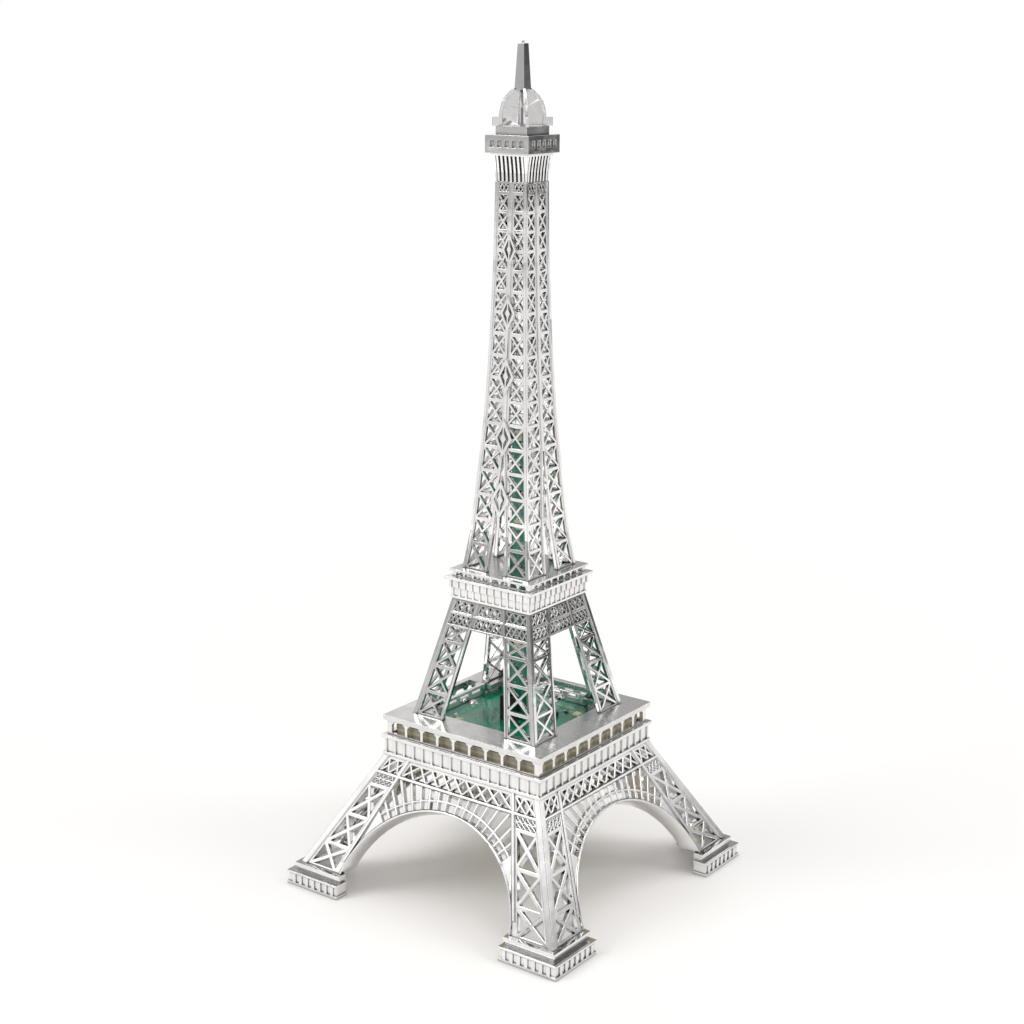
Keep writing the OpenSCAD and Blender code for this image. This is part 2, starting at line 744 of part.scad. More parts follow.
// ---- lamps and boards ----
module main_board() {
  color(green) difference() {
    translate([-board_half, -board_half, board_z]) cube([2 * board_half, 2 * board_half, 1.6]);
    for (p = screw_spots) translate([p[0], p[1], board_z - 1]) cylinder(r = 1.15, h = 4, $fn = 32);
  }
}

module board_screws() {
  color(chrome) for (p = screw_spots) translate([p[0], p[1], board_z]) {
    translate([0, 0, -4]) cylinder(r = 0.9, h = 6, $fn = 32);
    translate([0, 0, 1.6]) rotate_extrude($fn = 48) difference() {
      intersection() {
        translate([0, -0.9]) circle(r = 2.2, $fn = 64);
        square([3, 3]);
      }
      translate([0, 0.8]) square([0.3, 1]);
    }
  }
}

module corner_lamps() {
  for (x = [-1, 1], y = [-1, 1]) translate([x * lamp_at, y * lamp_at, board_z + 1.6]) {
    color([0.95, 0.93, 0.6]) translate([-1.75, -1.4, 0]) cube([3.5, 2.8, 0.9]);
    color([0.95, 0.93, 0.6]) translate([0, 0, 0.9]) cylinder(r = 1.1, h = 0.25, $fn = 32);
  }
}

module board_chips() {
  color([0.1, 0.1, 0.1]) {
    for (x = [-1, 1], y = [-1, 1]) translate([x * (lamp_at - 4.6) - 1, y * lamp_at - 0.6, board_z + 1.6])
      cube([2, 1.2, 0.6]);
    translate([6, 8, board_z + 1.6]) cube([4.9, 3.9, 1.4]);
  }
}

module board_socket() {
  color([0.05, 0.05, 0.05]) translate([-4.8, -4.9, board_z + 1.6]) difference() {
    cube([5.8, 4.3, 9.4]);
    translate([1.2, 1.1, 6]) cube([3.4, 2.1, 4]);
  }
}

module column_board() {
  color(green) rotate([90, 0, 0]) linear_extrude(height = 1.1, center = true)
    polygon([[-4.2, board_z + 1.6], [4.2, board_z + 1.6], [4.2, 122], [3.2, 125],
             [3.2, 172], [-3.2, 172], [-3.2, 125], [-4.2, 122]]);
}

module column_lamps() {
  color([0.95, 0.93, 0.6]) for (z = [88, 134, 167], s = [0, 180]) rotate([0, 0, s])
    translate([-1.4, -1.45, z]) {
      cube([2.8, 0.9, 3.5]);
      translate([1.4, 0, 1.75]) rotate([90, 0, 0]) cylinder(r = 1.1, h = 0.25, $fn = 32);
    }
}

foot_front_left();
foot_front_right();
foot_back_right();
foot_back_left();
base_panel_front();
base_panel_right();
base_panel_back();
base_panel_left();
deck_console();
deck_gallery();
deck_plate();
mid_panel_front();
mid_panel_right();
mid_panel_back();
mid_panel_left();
terrace_console();
terrace_gallery();
terrace_plate();
shaft_panel_front();
shaft_panel_right();
shaft_panel_back();
shaft_panel_left();
capital();
summit_gallery();
summit_block();
dome_fin_a();
dome_fin_b();
spire();
battery_tray();
battery_door();
door_pin();
battery_cells();
contact_plates();
contact_springs();
leads();
switch_body();
switch_lever();
main_board();
board_screws();
board_chips();
corner_lamps();
board_socket();
column_board();
column_lamps();
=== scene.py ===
"""Looks of the lighted lattice-tower miniature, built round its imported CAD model.

Everything is in metres in the part's own frame: +Z up, origin on the table under the
tower's axis, -Y the side with the raised ornaments.
"""

import math
import random

import bmesh
import bpy
from mathutils import Matrix, Vector


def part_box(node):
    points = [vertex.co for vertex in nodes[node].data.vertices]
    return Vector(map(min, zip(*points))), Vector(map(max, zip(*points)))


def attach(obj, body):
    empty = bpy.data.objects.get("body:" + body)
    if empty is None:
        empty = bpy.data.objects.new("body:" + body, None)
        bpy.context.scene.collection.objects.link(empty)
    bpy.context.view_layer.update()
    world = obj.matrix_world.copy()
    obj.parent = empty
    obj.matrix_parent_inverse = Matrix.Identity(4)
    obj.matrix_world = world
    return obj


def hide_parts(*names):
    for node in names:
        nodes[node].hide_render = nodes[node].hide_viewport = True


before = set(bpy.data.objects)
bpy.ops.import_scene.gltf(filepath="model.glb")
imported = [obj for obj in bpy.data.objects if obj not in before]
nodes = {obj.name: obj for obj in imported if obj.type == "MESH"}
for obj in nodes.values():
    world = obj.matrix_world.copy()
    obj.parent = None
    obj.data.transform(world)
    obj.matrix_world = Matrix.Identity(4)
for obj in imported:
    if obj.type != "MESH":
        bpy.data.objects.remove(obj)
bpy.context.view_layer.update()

MM = 0.001
TOWER = "tower"
random.seed(7)


# ---------------------------------------------------------------- camera and stage

CAMERA_AT = Vector((0.37277, -0.50951, 0.30418))
CAMERA_AZIMUTH = 36.44
CAMERA_PITCH = -14.57
CAMERA_ROLL = 0.37
CAMERA_LENS = 63.56
FLOOR_RADIUS = 1.15
BACKDROP_RADIUS = 6.0
KEY_POWER = 11.0
RIGHT_POWER = 8.0
TOP_POWER = 13.0
TENT_GLOW = 0.95
TENT_GAP = 0.04
TABLE_GLOW = 0.95
STRIP_GLOW = 0.42
FAR_GLOW = 0.2
GLOW_FROM = 0.25
FOLD_SCALE = 4.5


def make_camera():
    """The camera, from the right front corner and a little above the tower's middle."""
    data = bpy.data.cameras.new("camera")
    data.lens = CAMERA_LENS
    data.sensor_width = 36
    data.clip_start = 0.01
    data.clip_end = 50
    camera = bpy.data.objects.new("camera", data)
    turn = Matrix.Rotation(math.radians(CAMERA_AZIMUTH), 4, "Z")
    tip = Matrix.Rotation(math.radians(90 + CAMERA_PITCH), 4, "X")
    roll = Matrix.Rotation(math.radians(CAMERA_ROLL), 4, "Z")
    camera.matrix_world = Matrix.Translation(CAMERA_AT) @ turn @ tip @ roll
    bpy.context.scene.collection.objects.link(camera)
    bpy.context.scene.camera = camera


def area_light(name, at, target, size, power, colour=(1, 1, 1)):
    """A square softbox at a point, turned towards a target."""
    data = bpy.data.lights.new(name, "AREA")
    data.shape = "SQUARE"
    data.size = size
    data.energy = power
    data.color = colour
    light = bpy.data.objects.new(name, data)
    light.location = at
    light.rotation_euler = (Vector(target) - Vector(at)).to_track_quat("-Z", "Y").to_euler()
    bpy.context.scene.collection.objects.link(light)


def make_lights():
    centre = (0, 0, 0.12)
    area_light("key_softbox", (-0.9, -1.2, 1.5), centre, 0.9, KEY_POWER)
    area_light("right_softbox", (1.5, 0.5, 1.3), centre, 0.8, RIGHT_POWER)
    area_light("top_softbox", (0.0, 0.1, 2.0), centre, 1.6, TOP_POWER)


def make_room():
    """A light tent: four white walls at the diagonals with dark gaps between them, a white
    roof, below them a grey horizon that is darker to the right with a paler strip along it,
    and under the horizon the far part of the white table."""
    world = bpy.data.worlds.new("room")
    bpy.context.scene.world = world
    world.use_nodes = True
    tree = world.node_tree
    tree.nodes.clear()
    link = tree.links.new
    where = tree.nodes.new("ShaderNodeTexCoord")
    split = tree.nodes.new("ShaderNodeSeparateXYZ")
    link(where.outputs["Generated"], split.inputs[0])
    x, y, z = (split.outputs[i] for i in range(3))

    def feed(node, values):
        for socket, value in zip(node.inputs, values):
            if isinstance(value, bpy.types.NodeSocket):
                link(value, socket)
            else:
                socket.default_value = value

    def combine(operation, *values):
        node = tree.nodes.new("ShaderNodeMath")
        node.operation = operation
        feed(node, values)
        return node.outputs[0]

    def ramp(value, low, high):
        node = tree.nodes.new("ShaderNodeMapRange")
        node.interpolation_type = "SMOOTHSTEP"
        feed(node, (value, low, high))
        return node.outputs[0]

    def blend(factor, a, b):
        return combine("ADD", combine("MULTIPLY", factor, combine("SUBTRACT", b, a)), a)

    left = combine("ADD", combine("MULTIPLY", x, -0.59), combine("MULTIPLY", y, -0.81))
    front = combine("ADD", combine("MULTIPLY", x, 0.59), combine("MULTIPLY", y, -0.81))
    horizon = combine("ADD", combine("MULTIPLY", left, 0.1), 0.22)
    horizon = combine("ADD", horizon, combine("MULTIPLY", combine("MULTIPLY", front, front), 0.6))
    strip = combine("MULTIPLY", ramp(z, -0.035, -0.01), combine("SUBTRACT", 1, ramp(z, 0.02, 0.05)))
    horizon = combine("ADD", horizon, combine("MULTIPLY", strip, STRIP_GLOW))
    level = combine("SUBTRACT", 1.0001, combine("MULTIPLY", z, z))
    twice_xy = combine("MULTIPLY", combine("MULTIPLY", x, y), 2)
    diagonal = combine("DIVIDE", combine("ABSOLUTE", twice_xy), level)
    walls = combine("MAXIMUM", ramp(diagonal, 0.3, 0.8), ramp(z, 0.62, 0.85))
    tent = blend(walls, TENT_GAP, TENT_GLOW)
    folds = tree.nodes.new("ShaderNodeTexNoise")
    link(where.outputs["Generated"], folds.inputs["Vector"])
    folds.inputs["Scale"].default_value = FOLD_SCALE
    folds.inputs["Detail"].default_value = 2
    shade = tree.nodes.new("ShaderNodeMapRange")
    feed(shade, (folds.outputs["Fac"], 0.4, 0.6, 0.35, 1.3))
    above = combine("MULTIPLY", blend(ramp(z, 0.1, 0.24), horizon, tent), shade.outputs[0])
    strength = blend(ramp(z, -0.072, -0.058), TABLE_GLOW, above)
    background = tree.nodes.new("ShaderNodeBackground")
    background.inputs["Color"].default_value = (1.0, 0.99, 0.985, 1)
    link(strength, background.inputs["Strength"])
    out = tree.nodes.new("ShaderNodeOutputWorld")
    link(background.outputs[0], out.inputs["Surface"])


def disc_mesh(name, radius, sides=96):
    bm = bmesh.new()
    bmesh.ops.create_circle(bm, cap_ends=True, radius=radius, segments=sides)
    mesh = bpy.data.meshes.new(name)
    bm.to_mesh(mesh)
    bm.free()
    return mesh


def make_stage():
    """A white table top that can be seen through from below, with a painted glow that rises
    towards its rim, and a pale surround that only the camera sees."""
    floor = bpy.data.objects.new("floor", disc_mesh("floor", FLOOR_RADIUS))
    bpy.context.scene.collection.objects.link(floor)
    paper = Shader("table_top")
    paper["Base Color"] = (0.9, 0.885, 0.87, 1)
    paper["Roughness"] = 0.7
    spread = paper.node("ShaderNodeVectorMath", operation="LENGTH")
    paper.link(paper.coordinates(), spread.inputs[0])
    # painted light: the table top glows more the farther it lies from the tower's axis
    paper["Emission Color"] = (1, 1, 1, 1)
    paper["Emission Strength"] = paper.spread(
        spread.outputs["Value"], GLOW_FROM, FLOOR_RADIUS, 0, FAR_GLOW)
    clear = paper.node("ShaderNodeBsdfTransparent")
    sided = paper.node("ShaderNodeMixShader")
    paper.link(paper.node("ShaderNodeNewGeometry").outputs["Backfacing"], sided.inputs[0])
    paper.link(paper.principled.outputs[0], sided.inputs[1])
    paper.link(clear.outputs[0], sided.inputs[2])
    paper.link(sided.outputs[0], paper.tree.nodes["Material Output"].inputs["Surface"])
    floor.data.materials.append(paper.material)

    bm = bmesh.new()
    bmesh.ops.create_icosphere(bm, subdivisions=4, radius=BACKDROP_RADIUS)
    mesh = bpy.data.meshes.new("surround")
    bm.to_mesh(mesh)
    bm.free()
    surround = bpy.data.objects.new("surround", mesh)
    bpy.context.scene.collection.objects.link(surround)
    glow = bpy.data.materials.new("surround")
    glow.use_nodes = True
    glow.node_tree.nodes.clear()
    emission = glow.node_tree.nodes.new("ShaderNodeEmission")
    emission.inputs["Color"].default_value = (1, 1, 1, 1)
    out = glow.node_tree.nodes.new("ShaderNodeOutputMaterial")
    glow.node_tree.links.new(emission.outputs[0], out.inputs["Surface"])
    mesh.materials.append(glow)
    for visible in ("diffuse", "glossy", "transmission", "shadow", "volume_scatter"):
        setattr(surround, "visible_" + visible, False)


# ---------------------------------------------------------------- materials


class Shader:
    """One material: its Principled shader and the small texture graphs that feed it."""

    def __init__(self, name):
        self.material = bpy.data.materials.new(name)
        self.material.use_nodes = True
        self.tree = self.material.node_tree
        self.principled = self.tree.nodes["Principled BSDF"]
        self.place = None
        self.relief = None

    def __setitem__(self, socket, value):
        target = self.principled.inputs[socket]
        if isinstance(value, bpy.types.NodeSocket):
            self.tree.links.new(value, target)
        else:
            target.default_value = value

    def node(self, kind, **settings):
        made = self.tree.nodes.new(kind)
        for name, value in settings.items():
            setattr(made, name, value)
        return made

    def link(self, value, socket):
        if isinstance(value, bpy.types.NodeSocket):
            self.tree.links.new(value, socket)
        else:
            socket.default_value = value

    def coordinates(self, stretch=(1, 1, 1)):
        """The part's own coordinates in metres, stretched to lengthen a grain."""
        if self.place is None:
            self.place = self.node("ShaderNodeTexCoord").outputs["Object"]
        if stretch == (1, 1, 1):
            return self.place
        mapping = self.node("ShaderNodeMapping")
        mapping.inputs["Scale"].default_value = stretch
        self.tree.links.new(self.place, mapping.inputs["Vector"])
        return mapping.outputs[0]

    def noise(self, size, detail=3.0, roughness=0.5, stretch=(1, 1, 1)):
        """Soft noise whose features are about size metres across."""
        made = self.node("ShaderNodeTexNoise")
        self.tree.links.new(self.coordinates(stretch), made.inputs["Vector"])
        made.inputs["Scale"].default_value = 1 / size
        made.inputs["Detail"].default_value = detail
        made.inputs["Roughness"].default_value = roughness
        return made.outputs["Fac"]

    def cells(self, size, randomness=1.0):
        """Distance to scattered points about size metres apart."""
        made = self.node("ShaderNodeTexVoronoi")
        self.tree.links.new(self.coordinates(), made.inputs["Vector"])
        made.inputs["Scale"].default_value = 1 / size
        made.inputs["Randomness"].default_value = randomness
        return made.outputs["Distance"]

    def spread(self, value, low, high, to_low, to_high):
        """A value between low and high, rescaled and held between two others."""
        made = self.node("ShaderNodeMapRange")
        self.link(value, made.inputs["Value"])
        for socket, number in zip(("From Min", "From Max", "To Min", "To Max"),
                                  (low, high, to_low, to_high)):
            made.inputs[socket].default_value = number
        return made.outputs[0]

    def mix(self, factor, a, b):
        """A colour between a and b."""
        made = self.node("ShaderNodeMix", data_type="RGBA")
        self.link(factor, made.inputs[0])
        self.link(a, made.inputs[6])
        self.link(b, made.inputs[7])
        return made.outputs[2]

    def add(self, a, b):
        made = self.node("ShaderNodeMath", operation="ADD")
        made.use_clamp = True
        self.link(a, made.inputs[0])
        self.link(b, made.inputs[1])
        return made.outputs[0]

    def bump(self, height, depth, strength=1.0):
        """Adds relief of a depth in metres on top of the relief made so far."""
        made = self.node("ShaderNodeBump")
        made.inputs["Distance"].default_value = depth
        made.inputs["Strength"].default_value = strength
        self.tree.links.new(height, made.inputs["Height"])
        if self.relief is not None:
            self.tree.links.new(self.relief, made.inputs["Normal"])
        self.relief = made.outputs[0]
        self.tree.links.new(self.relief, self.principled.inputs["Normal"])

    def shade_in_crevices(self, reach):
        """Near 0 deep in corners narrower than reach metres, 1 out in the open; used to paint shade.
        """
        made = self.node("ShaderNodeAmbientOcclusion", samples=6)
        made.inputs["Distance"].default_value = reach
        return made.outputs["AO"]

    def edges(self, low=0.52, high=0.6):
        """0 on flat stretches, rising to 1 on outer edges."""
        pointed = self.node("ShaderNodeNewGeometry").outputs["Pointiness"]
        return self.spread(pointed, low, high, 0, 1)


def metallised(name, colour=(0.88, 0.875, 0.875, 1), wave=0.55, rough=0.0):
    """Vacuum-metallised plastic: a mirror over slightly wavy moulded walls, with fine
    specks, hazy patches, duller edges, and painted shade that darkens the colour down in the
    crevices."""
    m = Shader(name)
    haze = m.noise(9 * MM, 4)
    speck = m.spread(m.cells(1.9 * MM), 0.02, 0.07, 1, 0)
    dull = tuple(c * 0.86 for c in colour[:3]) + (1,)
    film = m.mix(m.spread(haze, 0.35, 0.75, 0, 1), colour, dull)
    # painted shade: the base colour falls to a sixth of the silver where ambient occlusion finds
    # crevices
    painted_crevice_shade = tuple(c * 0.16 for c in colour[:3]) + (1,)
    m["Base Color"] = m.mix(m.spread(m.shade_in_crevices(1.3 * MM), 0.3, 0.9, 0, 1), painted_crevice_shade, film)
    m["Metallic"] = 1.0
    sheen = m.spread(haze, 0.3, 0.8, 0.035 + rough, 0.11 + rough)
    sheen = m.add(sheen, m.spread(speck, 0, 1, 0, 0.12))
    m["Roughness"] = m.add(sheen, m.spread(m.edges(), 0, 1, 0, 0.07))
    m.bump(m.noise(5 * MM, 1), 0.05 * MM, wave)
    m.bump(m.noise(0.9 * MM, 2), 0.006 * MM, 0.5)
    return m.material


def moulded(name, colour, roughness, grain=0.25 * MM, depth=0.012 * MM, shade=0.82):
    """Plain moulded plastic with a fine spark-eroded grain and faint colour drift."""
    m = Shader(name)
    dark = tuple(c * shade for c in colour[:3]) + (1,)
    m["Base Color"] = m.mix(m.spread(m.noise(14 * MM, 4), 0.3, 0.75, 0, 1), colour, dark)
    m["Roughness"] = m.spread(m.noise(3 * MM, 3), 0.3, 0.7, roughness * 0.85, roughness * 1.2)
    m.bump(m.noise(grain, 3), depth)
    return m.material


def solder_mask(name, flat_axis):
    """Glossy green lacquer, a little cloudy, with the weave of the board just showing and
    bare laminate on the sawn edges. flat_axis is the axis across the board, 0 to 2."""
    m = Shader(name)
    deep = (0.001, 0.19, 0.1, 1)
    clear = (0.004, 0.27, 0.15, 1)
    laminate = (0.36, 0.34, 0.24, 1)
    lacquer = m.mix(m.spread(m.noise(7 * MM, 4), 0.3, 0.7, 0, 1), deep, clear)
    normal = m.node("ShaderNodeSeparateXYZ")
    m.link(m.node("ShaderNodeNewGeometry").outputs["True Normal"], normal.inputs[0])
    facing = m.node("ShaderNodeMath", operation="ABSOLUTE")
    m.link(normal.outputs[flat_axis], facing.inputs[0])
    m["Base Color"] = m.mix(m.spread(facing.outputs[0], 0.5, 0.6, 0, 1), laminate, lacquer)
    m["Roughness"] = m.spread(m.noise(2 * MM, 3), 0.3, 0.7, 0.1, 0.22)
    m["Coat Weight"] = 0.6
    m["Coat Roughness"] = 0.06
    weave = m.node("ShaderNodeTexWave", wave_type="BANDS", bands_direction="X")
    m.tree.links.new(m.coordinates(), weave.inputs["Vector"])
    weave.inputs["Scale"].default_value = 1 / (2.2 * MM)
    m.bump(weave.outputs["Fac"], 0.004 * MM, 0.4)
    m.bump(m.noise(1.5 * MM, 2), 0.008 * MM, 0.5)
    return m.material


def covered_copper(name):
    """Copper track under the green lacquer: the same gloss, a lighter green."""
    m = Shader(name)
    m["Base Color"] = m.mix(m.noise(3 * MM, 3), (0.01, 0.3, 0.17, 1), (0.02, 0.38, 0.2, 1))
    m["Roughness"] = 0.16
    m["Coat Weight"] = 0.6
    m["Coat Roughness"] = 0.06
    m.bump(m.noise(0.7 * MM, 2), 0.006 * MM, 0.6)
    return m.material


def metal(name, colour, rough_low, rough_high, stretch=(1, 1, 1)):
    """Plated sheet or wire with a drawn grain and small tarnished patches."""
    m = Shader(name)
    tarnish = m.spread(m.noise(2.5 * MM, 4), 0.55, 0.8, 0, 0.5)
    m["Base Color"] = m.mix(tarnish, colour, tuple(c * 0.6 for c in colour[:3]) + (1,))
    m["Metallic"] = 1.0
    grain = m.noise(0.5 * MM, 3, stretch=stretch)
    m["Roughness"] = m.spread(grain, 0.3, 0.7, rough_low, rough_high)
    m.bump(m.noise(0.3 * MM, 3, stretch=stretch), 0.006 * MM, 0.6)
    return m.material


def phosphor(name):
    """Pale yellow phosphor resin."""
    m = Shader(name)
    m["Base Color"] = m.mix(m.noise(0.4 * MM, 3), (0.86, 0.83, 0.36, 1), (0.9, 0.86, 0.5, 1))
    m["Roughness"] = 0.28
    m["Subsurface Weight"] = 0.2
    m["Subsurface Scale"] = 0.0004
    m.bump(m.noise(0.12 * MM, 2), 0.01 * MM, 0.5)
    return m.material


SILVER = metallised("metallised_silver")
SILVER_PLATE = metallised("metallised_plate", (0.8, 0.795, 0.79, 1), 1.0, 0.13)
CREAM = moulded("cream_plastic", (0.66, 0.6, 0.43, 1), 0.42)
IVORY = moulded("lamp_housing", (0.9, 0.88, 0.6, 1), 0.35, 0.12 * MM, 0.006 * MM, 0.92)
BLACK = moulded("black_plastic", (0.018, 0.018, 0.019, 1), 0.4, 0.16 * MM, 0.01 * MM, 0.7)
JACKET = moulded("cell_jacket", (0.025, 0.03, 0.05, 1), 0.22, 1.5 * MM, 0.02 * MM, 0.8)
BAND = moulded("cell_band", (0.45, 0.3, 0.12, 1), 0.25, 1.5 * MM, 0.02 * MM, 0.85)
MASK = solder_mask("green_board", 2)
COLUMN_MASK = solder_mask("green_column", 1)
TRACK = covered_copper("covered_copper")
PHOSPHOR = phosphor("phosphor")
NICKEL = metal("nickel_steel", (0.72, 0.7, 0.66, 1), 0.16, 0.34, (1, 1, 0.2))
SOLDER = metal("solder", (0.78, 0.78, 0.8, 1), 0.12, 0.3)
RED = moulded("red_wire", (0.5, 0.02, 0.015, 1), 0.35, 0.2 * MM, 0.006 * MM, 0.85)


# ---------------------------------------------------------------- mesh helpers


def to_object(bm, name, material, body=TOWER, bevel=0.0, smooth=False):
    """A finished piece from a bmesh: cleaned, optionally rounded, riding on its body."""
    bmesh.ops.remove_doubles(bm, verts=bm.verts, dist=1e-7)
    bmesh.ops.recalc_face_normals(bm, faces=bm.faces)
    mesh = bpy.data.meshes.new(name)
    bm.to_mesh(mesh)
    bm.free()
    piece = bpy.data.objects.new(name, mesh)
    bpy.context.scene.collection.objects.link(piece)
    mesh.materials.append(material)
    mesh.polygons.foreach_set("use_smooth", [smooth or bevel > 0] * len(mesh.polygons))
    if bevel:
        round_edges(piece, bevel)
    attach(piece, body)
    return piece


def round_edges(piece, width, segments=2, angle=30):
    made = piece.modifiers.new("round", "BEVEL")
    made.width = width
    made.segments = segments
    made.limit_method = "ANGLE"
    made.angle_limit = math.radians(angle)
    made.harden_normals = True
    made.use_clamp_overlap = False
    return made


def add_box(bm, lo, hi):
    """A box between two corners."""
    lo, hi = Vector(lo), Vector(hi)
    made = bmesh.ops.create_cube(bm, size=1)["verts"]
    for v in made:
        v.co = Vector(((lo[i] + hi[i]) / 2 + v.co[i] * (hi[i] - lo[i]) for i in range(3)))
    return made


def add_lathe(bm, profile, sides=32, place=Matrix.Identity(4)):
    """A turned body: profile is (radius, height) from the bottom axis to the top axis."""
    rings = []
    for radius, height in profile:
        if radius < 1e-7:
            rings.append([bm.verts.new(place @ Vector((0, 0, height)))])
            continue
        turns = (2 * math.pi * k / sides for k in range(sides))
        rings.append([bm.verts.new(
            place @ Vector((radius * math.cos(a), radius * math.sin(a), height))) for a in turns])
    for low, high in zip(rings, rings[1:]):
        for k in range(sides):
            j = (k + 1) % sides
            corners = []
            for ring, index in ((low, k), (low, j), (high, j), (high, k)):
                vert = ring[index if len(ring) > 1 else 0]
                if vert not in corners:
                    corners.append(vert)
            if len(corners) > 2:
                bm.faces.new(corners)


def in_mm(*points):
    """Points given in millimetres, as a list in metres."""
    return [tuple(c * MM for c in p) for p in points]


def add_strip(bm, points, width, z, height):
    """A flat track of even width along points in plan, mitred at its corners."""
    points = [Vector(p) for p in points]
    sides = []
    for i, p in enumerate(points):
        before = (p - points[i - 1]).normalized() if i else None
        after = (points[i + 1] - p).normalized() if i + 1 < len(points) else None
        along = before or after
        if before and after:
            along = (before + after).normalized()
        across = Vector((-along.y, along.x))
        leg = before or after
        reach = width / 2 / max(0.5, abs(across.dot(Vector((-leg.y, leg.x)))))
        sides.append((p + across * reach, p - across * reach))
    low = [[bm.verts.new((q.x, q.y, z)) for q in pair] for pair in sides]
    top = [[bm.verts.new((q.x, q.y, z + height)) for q in pair] for pair in sides]
    for i in range(len(points) - 1):
        bm.faces.new((top[i][0], top[i + 1][0], top[i + 1][1], top[i][1]))
        bm.faces.new((low[i][0], low[i][1], low[i + 1][1], low[i + 1][0]))
        bm.faces.new((low[i][0], low[i + 1][0], top[i + 1][0], top[i][0]))
        bm.faces.new((low[i][1], top[i][1], top[i + 1][1], low[i + 1][1]))
    for i in (0, -1):
        bm.faces.new((low[i][0], top[i][0], top[i][1], low[i][1]))


# ---------------------------------------------------------------- CAD nodes kept as they are

SILVER_NODES = [n for n in nodes
                if n.startswith(("foot", "base", "deck", "mid", "terrace", "shaft",
                                 "capital", "summit", "dome", "spire"))]
EDGE_ROUND = {"foot": 0.12, "base": 0.24, "mid": 0.2, "shaft": 0.17, "deck": 0.14,
              "terrace": 0.1, "capital": 0.1, "summit": 0.12, "dome": 0.14, "spire": 0.1}


def dress(name, material, width, segments=2):
    """Gives a CAD node its material and softly rounded edges."""
    piece = nodes[name]
    piece.data.materials.clear()
    piece.data.materials.append(material)
    weld = piece.modifiers.new("weld", "WELD")
    weld.merge_threshold = 1e-6
    if width:
        round_edges(piece, width, segments, 25)


def dress_cad():
    for name in SILVER_NODES:
        material = SILVER_PLATE if name.endswith("_plate") else SILVER
        dress(name, material, EDGE_ROUND[name.split("_")[0]] * MM)
    dress("battery_tray", CREAM, 0.25 * MM)
    dress("battery_door", CREAM, 0.2 * MM)
    dress("door_pin", NICKEL, 0.1 * MM)
    dress("main_board", MASK, 0.06 * MM, 1)
    dress("column_board", COLUMN_MASK, 0.06 * MM, 1)
    dress("switch_body", BLACK, 0.15 * MM)
    dress("switch_lever", BLACK, 0.15 * MM)
    dress("leads", RED, 0)
    dress("contact_plates", NICKEL, 0.08 * MM)
    dress("board_socket", BLACK, 0.12 * MM)


# ---------------------------------------------------------------- lamps and boards

def solid_boxes(name):
    """The box of each separate solid of a CAD node, as (lowest, highest, centre)."""
    bm = bmesh.new()
    bm.from_mesh(nodes[name].data)
    bmesh.ops.remove_doubles(bm, verts=bm.verts, dist=1e-6)
    left, boxes = set(bm.verts), []
    while left:
        queue = [left.pop()]
        found = []
        while queue:
            vert = queue.pop()
            found.append(vert.co.copy())
            near = {e.other_vert(vert) for e in vert.link_edges} & left
            left -= near
            queue.extend(near)
        lo = Vector(min(p[i] for p in found) for i in range(3))
        hi = Vector(max(p[i] for p in found) for i in range(3))
        boxes.append((lo, hi, (lo + hi) / 2))
    bm.free()
    return sorted(boxes, key=lambda box: [round(c, 5) for c in box[2]])


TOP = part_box("main_board")[1][2]
CORNER_LAMPS = solid_boxes("corner_lamps")
LAMP_AT = max(centre.x for _, _, centre in CORNER_LAMPS)
LAMP_L, LAMP_W, LAMP_H = 3.5 * MM, 2.8 * MM, 0.9 * MM
COLUMN_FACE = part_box("column_board")[1][1]
TRACK_H = 0.035 * MM


def placed(bm, build, place):
    """Builds part of a bmesh and moves just that part to its place."""
    before = set(bm.verts)
    build(bm)
    for v in bm.verts:
        if v not in before:
            v.co = place @ v.co


def lamp_places():
    """Where each lamp sits: its own +Z points away from its board, its length along X."""
    flat = [Matrix.Translation((centre.x, centre.y, TOP)) for _, _, centre in CORNER_LAMPS]
    upright = [Matrix.Rotation(math.pi if centre.y > 0 else 0, 4, "Z")
               @ Matrix.Translation((0, -COLUMN_FACE, centre.z))
               @ Matrix.Rotation(math.pi / 2, 4, "X") @ Matrix.Rotation(math.pi / 2, 4, "Z")
               for _, _, centre in solid_boxes("column_lamps")]
    return flat, upright


def lamp_housing(bm):
    """A moulded case with a round well in its top."""
    sides = 48
    half_l, half_w = LAMP_L / 2 - 0.35 * MM, LAMP_W / 2

    def square_ring(z, shrink):
        ring = []
        for k in range(sides):
            a = 2 * math.pi * k / sides
            c, s = math.cos(a), math.sin(a)
            reach = min((half_l - shrink) / max(abs(c), 1e-6),
                        (half_w - shrink) / max(abs(s), 1e-6))
            ring.append(bm.verts.new((c * reach, s * reach, z)))
        return ring

    def round_ring(z, radius):
        return [bm.verts.new((radius * math.cos(2 * math.pi * k / sides),
                              radius * math.sin(2 * math.pi * k / sides), z)) for k in range(sides)]

    rings = [square_ring(0.02 * MM, 0), square_ring(LAMP_H * 0.5, 0),
             square_ring(LAMP_H * 0.96, 0.09 * MM), square_ring(LAMP_H, 0.14 * MM),
             round_ring(LAMP_H, 1.2 * MM), round_ring(LAMP_H * 0.6, 1.0 * MM)]
    for low, high in zip(rings, rings[1:]):
        for k in range(sides):
            j = (k + 1) % sides
            bm.faces.new((low[k], low[j], high[j], high[k]))
    bm.faces.new(rings[-1])
    bm.faces.new(list(reversed(rings[0])))


def lamp_resin(bm):
    """The phosphor that fills the well, slightly domed."""
    add_lathe(bm, in_mm((0, 0.5), (0.98, 0.55), (1.13, 0.86), (0.9, 0.93), (0.6, 0.99),
                        (0.3, 1.02), (0, 1.03)), 40)


